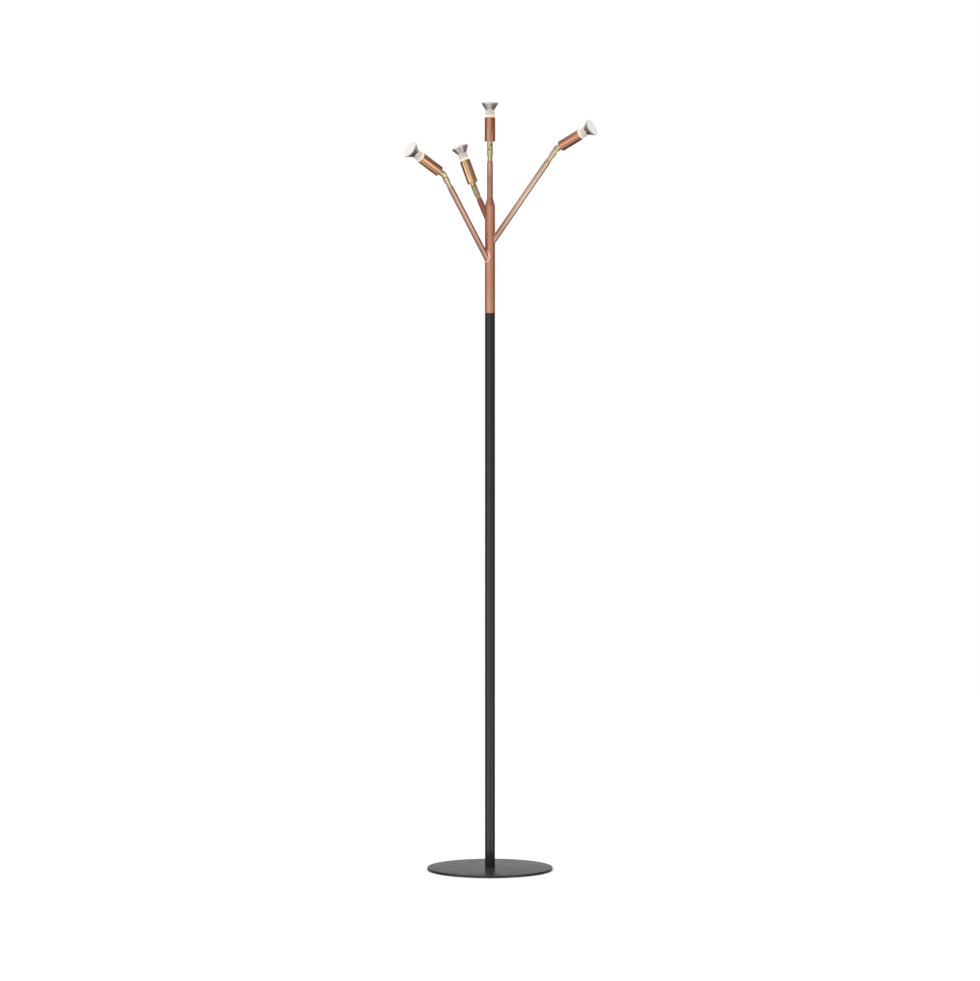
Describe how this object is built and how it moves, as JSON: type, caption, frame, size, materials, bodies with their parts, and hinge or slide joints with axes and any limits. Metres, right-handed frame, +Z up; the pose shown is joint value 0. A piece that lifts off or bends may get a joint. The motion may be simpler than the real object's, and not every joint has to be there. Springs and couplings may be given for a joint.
{
  "type": "tree floor lamp",
  "caption": "Tree floor lamp with a round flat base, a slim two-part pole and slanting arms, each ending in a swivel joint, a cylindrical cup and a reflector bulb.",
  "frame": {"origin": "on the floor, under the centre of the base and the axis of the pole", "axes": "+Z up along the pole; -Y towards the viewer, so the tallest side arm points to +X"},
  "size_m": [0.3951, 0.2624, 1.5878],
  "materials": {
    "base_paint": "satin",
    "pole_paint": "satin",
    "pad_rubber": "matte",
    "plated_steel": "satin",
    "copper": "polished",
    "brass": "polished",
    "white_plastic": "matte",
    "holder_ceramic": "glazed",
    "bulb_ceramic": "matte",
    "bulb_glass": "polished",
    "capsule_glass": "polished"
  },
  "bodies": {
    "stand": {"base_plate": "base_paint", "base_pad": "pad_rubber", "base_bolt": "plated_steel", "pole_foot_insert": "plated_steel", "pole_tube": "pole_paint", "cord_grommet": "pad_rubber", "joint_spigot": "plated_steel", "grub_screws": "plated_steel", "trunk_tube": "copper", "terminal_block": "white_plastic", "arm_left": "copper", "arm_right": "copper", "arm_back": "copper", "arm_centre": "copper", "braze_fillets": "brass", "arm_nipples": "brass"},
    "swivel_left": {"knuckle_lower_left": "brass", "stop_screw_left": "brass"},
    "head_left": {"knuckle_upper_left": "brass", "knuckle_screw_left": "brass", "lamp_cup_left": "copper", "cup_nut_left": "plated_steel", "lamp_holder_left": "holder_ceramic", "bulb_base_left": "bulb_ceramic", "bulb_reflector_left": "bulb_glass", "bulb_capsule_left": "capsule_glass", "bulb_lens_left": "bulb_glass"},
    "swivel_right": {"knuckle_lower_right": "brass", "stop_screw_right": "brass"},
    "head_right": {"knuckle_upper_right": "brass", "knuckle_screw_right": "brass", "lamp_cup_right": "copper", "cup_nut_right": "plated_steel", "lamp_holder_right": "holder_ceramic", "bulb_base_right": "bulb_ceramic", "bulb_reflector_right": "bulb_glass", "bulb_capsule_right": "capsule_glass", "bulb_lens_right": "bulb_glass"},
    "swivel_back": {"knuckle_lower_back": "brass", "stop_screw_back": "brass"},
    "head_back": {"knuckle_upper_back": "brass", "knuckle_screw_back": "brass", "lamp_cup_back": "copper", "cup_nut_back": "plated_steel", "lamp_holder_back": "holder_ceramic", "bulb_base_back": "bulb_ceramic", "bulb_reflector_back": "bulb_glass", "bulb_capsule_back": "capsule_glass", "bulb_lens_back": "bulb_glass"},
    "swivel_centre": {"knuckle_lower_centre": "brass", "stop_screw_centre": "brass"},
    "head_centre": {"knuckle_upper_centre": "brass", "knuckle_screw_centre": "brass", "lamp_cup_centre": "copper", "cup_nut_centre": "plated_steel", "lamp_holder_centre": "holder_ceramic", "bulb_base_centre": "bulb_ceramic", "bulb_reflector_centre": "bulb_glass", "bulb_capsule_centre": "capsule_glass", "bulb_lens_centre": "bulb_glass"}
  },
  "joints": [
    {"name": "swivel_joint_left", "type": "hinge", "parent": "stand", "child": "swivel_left", "pos_m": [-0.09459, -0.07937, 1.43466], "axis": [-0.4339, -0.3641, 0.8241], "range_deg": [-150, 150]},
    {"name": "tilt_joint_left", "type": "hinge", "parent": "swivel_left", "child": "head_left", "pos_m": [-0.09459, -0.07937, 1.43466], "axis": [0.3304, -0.9153, -0.2304], "range_deg": [-114.5, 65.5]},
    {"name": "swivel_joint_right", "type": "hinge", "parent": "stand", "child": "swivel_right", "pos_m": [0.13702, 0.00359, 1.49244], "axis": [0.5662, 0.0148, 0.8241], "range_deg": [-150, 150]},
    {"name": "tilt_joint_right", "type": "hinge", "parent": "swivel_right", "child": "head_right", "pos_m": [0.13702, 0.00359, 1.49244], "axis": [0.5947, 0.6849, -0.4209], "range_deg": [-125, 55]},
    {"name": "swivel_joint_back", "type": "hinge", "parent": "stand", "child": "swivel_back", "pos_m": [-0.0317, 0.04207, 1.41364], "axis": [-0.3409, 0.4524, 0.8241], "range_deg": [-150, 150]},
    {"name": "tilt_joint_back", "type": "hinge", "parent": "swivel_back", "child": "head_back", "pos_m": [-0.0317, 0.04207, 1.41364], "axis": [-0.9387, -0.1155, -0.3249], "range_deg": [-68.5, 111.5]},
    {"name": "swivel_joint_centre", "type": "hinge", "parent": "stand", "child": "swivel_centre", "pos_m": [0, 0, 1.4958], "axis": [0, 0, 1], "range_deg": [-150, 150]},
    {"name": "tilt_joint_centre", "type": "hinge", "parent": "swivel_centre", "child": "head_centre", "pos_m": [0, 0, 1.4958], "axis": [-1, 0, 0], "range_deg": [-90, 90]}
  ]
}
